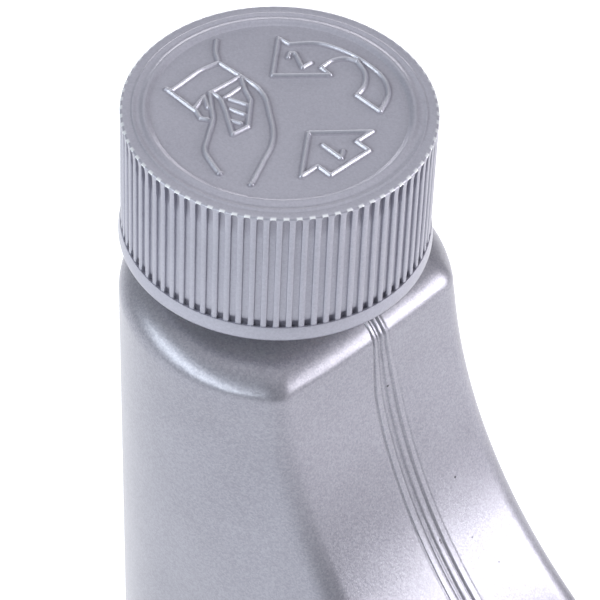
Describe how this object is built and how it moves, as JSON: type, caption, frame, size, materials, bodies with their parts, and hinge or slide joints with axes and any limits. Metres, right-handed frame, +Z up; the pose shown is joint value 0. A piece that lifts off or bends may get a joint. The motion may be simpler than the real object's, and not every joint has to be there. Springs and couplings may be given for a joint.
{
  "type": "descaler bottle",
  "caption": "Blow-moulded household bottle with an offset neck, a flared flat side and a ribbed push-and-turn child-resistant closure.",
  "frame": {"origin": "on the surface that the bottle stands on, under the middle of its bounding box", "axes": "+Z up along the neck, +X from the neck towards the flared flat side, +Y across the bottle's thickness"},
  "size_m": [0.0667, 0.0394, 0.17],
  "materials": {
    "bottle_plastic": "satin silver-grey with fine metallic pigment",
    "cap_plastic": "satin silver-grey, lightly pearled",
    "inner_plastic": "natural translucent white",
    "liner_foam": "white expanded foam"
  },
  "bodies": {
    "bottle": {"bottle": "bottle_plastic", "bottle_neck": "bottle_plastic"},
    "liner": {"liner": "liner_foam"},
    "inner_cap": {"inner_cap": "inner_plastic"},
    "outer_cap": {"outer_cap": "cap_plastic"}
  },
  "joints": [
    {"name": "cap_rise", "type": "slide", "parent": "bottle", "child": "liner", "axis": [0, 0, 1], "range_m": [0, 0.00847]},
    {"name": "cap_unscrew", "type": "hinge", "parent": "liner", "child": "inner_cap", "pos_m": [-0.01532, 0, 0.16], "axis": [0, 0, 1], "range_deg": [0, 720]},
    {"name": "cap_press", "type": "slide", "parent": "inner_cap", "child": "outer_cap", "axis": [0, 0, -1], "range_m": [0, 0.001], "stiffness_N_per_m": 500}
  ],
  "couplings": [
    {"joint": "cap_rise", "follows": "cap_unscrew", "m_per_rad": 0.00067373}
  ]
}
